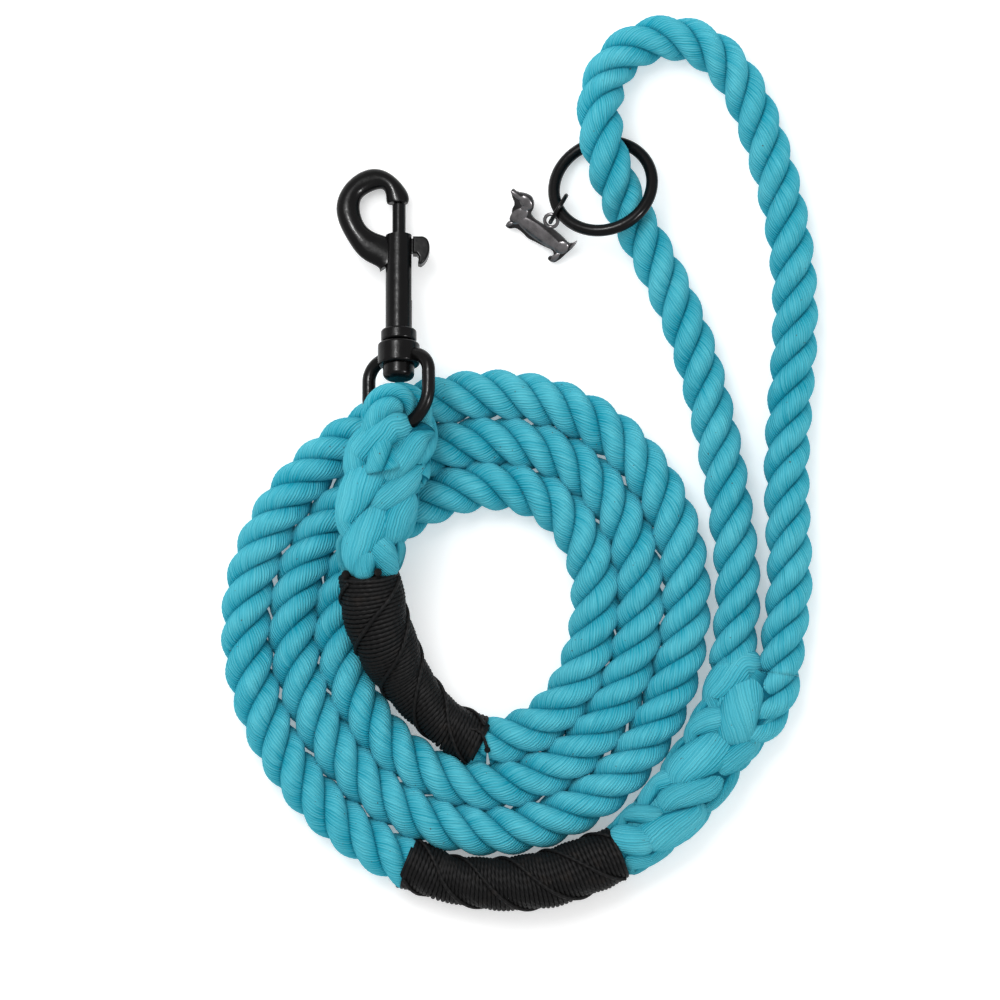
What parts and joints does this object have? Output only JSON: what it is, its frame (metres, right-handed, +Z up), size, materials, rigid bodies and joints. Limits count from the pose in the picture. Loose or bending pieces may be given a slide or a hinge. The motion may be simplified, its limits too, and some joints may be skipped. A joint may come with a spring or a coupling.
{
  "type": "rope dog lead",
  "caption": "Twisted-rope lead in a flat coil, with a swivel bolt snap at a whipped eye splice and a spliced handle loop carrying a ring and a small charm.",
  "frame": {"origin": "bottom centre of the whole lead's box as it lies on the floor", "axes": "+Y towards the snap and the top of the handle loop, +X to the right, +Z up from the floor"},
  "size_m": [0.1793, 0.2695, 0.0372],
  "materials": {
    "rope": "twisted cotton",
    "twine": "waxed twine",
    "black_metal": "gloss black",
    "spring_steel": "drawn wire",
    "gunmetal": "antique gunmetal"
  },
  "bodies": {
    "lead": {"rope_coil": "rope", "hook_core": "rope", "hook_whipping": "twine", "hook_splice": "rope", "hook_eye": "rope", "handle_core": "rope", "handle_whipping": "twine", "handle_splice": "rope", "handle_loop": "rope"},
    "swivel_eye": {"swivel_eye": "black_metal"},
    "snap": {"snap_body": "black_metal", "swivel_rivet": "black_metal", "bolt_spring": "spring_steel"},
    "bolt": {"snap_bolt": "black_metal", "thumb_trigger": "black_metal"},
    "accessory_ring": {"accessory_ring": "black_metal"},
    "jump_ring": {"jump_ring": "black_metal"},
    "charm": {"charm": "gunmetal"}
  },
  "joints": [
    {"name": "eye_pivot", "type": "hinge", "parent": "lead", "child": "swivel_eye", "pos_m": [-0.0366, 0.0108, 0.0254], "axis": [0.6732, 0.1056, 0.7319], "range_deg": [0, 60]},
    {"name": "snap_swivel", "type": "hinge", "parent": "swivel_eye", "child": "snap", "pos_m": [-0.0366, 0.02928, 0.01983], "axis": [0, 0.9574, -0.2887], "continuous": true},
    {"name": "bolt_slide", "type": "slide", "parent": "snap", "child": "bolt", "axis": [0, -0.9574, 0.2887], "range_m": [0, 0.0104], "stiffness_N_per_m": 250, "springref_m": -0.004, "deforming": ["bolt_spring"]},
    {"name": "ring_tilt", "type": "hinge", "parent": "lead", "child": "accessory_ring", "pos_m": [0.0246, 0.0832, 0.0094], "axis": [-0.9063, -0.4226, 0], "range_deg": [0, 60]},
    {"name": "jump_ring_swing", "type": "hinge", "parent": "accessory_ring", "child": "jump_ring", "pos_m": [0.01094, 0.07701, 0.00931], "axis": [0.3579, -0.798, 0.4848], "range_deg": [-10, 30]},
    {"name": "charm_swing", "type": "hinge", "parent": "jump_ring", "child": "charm", "pos_m": [0.00918, 0.07304, 0.0056], "axis": [0.2767, 0.4605, -0.8434], "range_deg": [-10, 10]}
  ]
}
